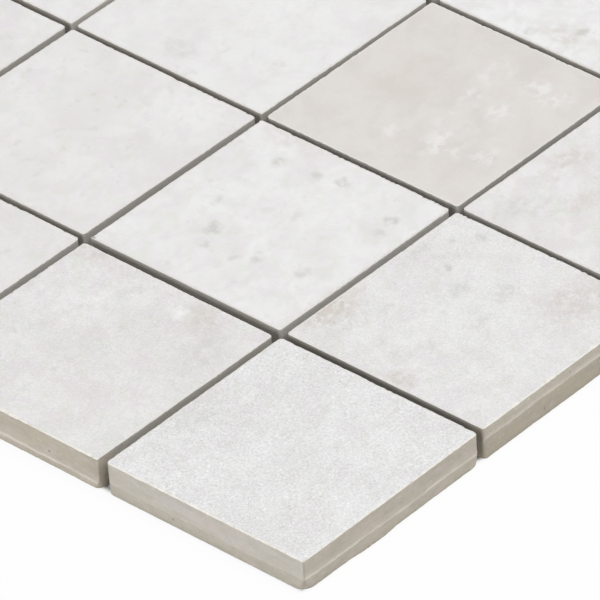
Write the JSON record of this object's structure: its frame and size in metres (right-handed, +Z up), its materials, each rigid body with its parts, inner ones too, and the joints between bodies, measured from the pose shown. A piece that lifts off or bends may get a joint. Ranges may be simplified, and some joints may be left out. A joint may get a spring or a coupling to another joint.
{
  "type": "porcelain mosaic tile sheet",
  "caption": "Flat square sheet of square matte porcelain mosaic chips in a grid with narrow open joints, face up on an open glass-fibre mesh backing.",
  "frame": {"origin": "centre of the sheet's underside, on the level that the mesh lies on", "axes": "+Z up through the face of the chips, +X along a row of chips, +Y from row to row"},
  "size_m": [0.3042, 0.304, 0.0079],
  "materials": {
    "porcelain_white": "matte",
    "porcelain_beige": "matte",
    "mesh": "coated glass fibre"
  },
  "bodies": {
    "root": {"tile_r1_c1": "porcelain_white", "tile_r1_c2": "porcelain_white", "tile_r1_c3": "porcelain_white", "tile_r1_c4": "porcelain_white", "tile_r1_c5": "porcelain_white", "tile_r1_c6": "porcelain_white", "tile_r2_c1": "porcelain_white", "tile_r2_c2": "porcelain_white", "tile_r2_c3": "porcelain_beige", "tile_r2_c4": "porcelain_white", "tile_r2_c5": "porcelain_white", "tile_r2_c6": "porcelain_white", "tile_r3_c1": "porcelain_white", "tile_r3_c2": "porcelain_white", "tile_r3_c3": "porcelain_white", "tile_r3_c4": "porcelain_white", "tile_r3_c5": "porcelain_white", "tile_r3_c6": "porcelain_white", "tile_r4_c1": "porcelain_white", "tile_r4_c2": "porcelain_white", "tile_r4_c3": "porcelain_white", "tile_r4_c4": "porcelain_white", "tile_r4_c5": "porcelain_white", "tile_r4_c6": "porcelain_beige", "tile_r5_c1": "porcelain_white", "tile_r5_c2": "porcelain_beige", "tile_r5_c3": "porcelain_white", "tile_r5_c4": "porcelain_white", "tile_r5_c5": "porcelain_white", "tile_r5_c6": "porcelain_white", "tile_r6_c1": "porcelain_white", "tile_r6_c2": "porcelain_white", "tile_r6_c3": "porcelain_white", "tile_r6_c4": "porcelain_white", "tile_r6_c5": "porcelain_white", "tile_r6_c6": "porcelain_white", "mesh_warp": "mesh", "mesh_weft": "mesh"}
  },
  "joints": []
}
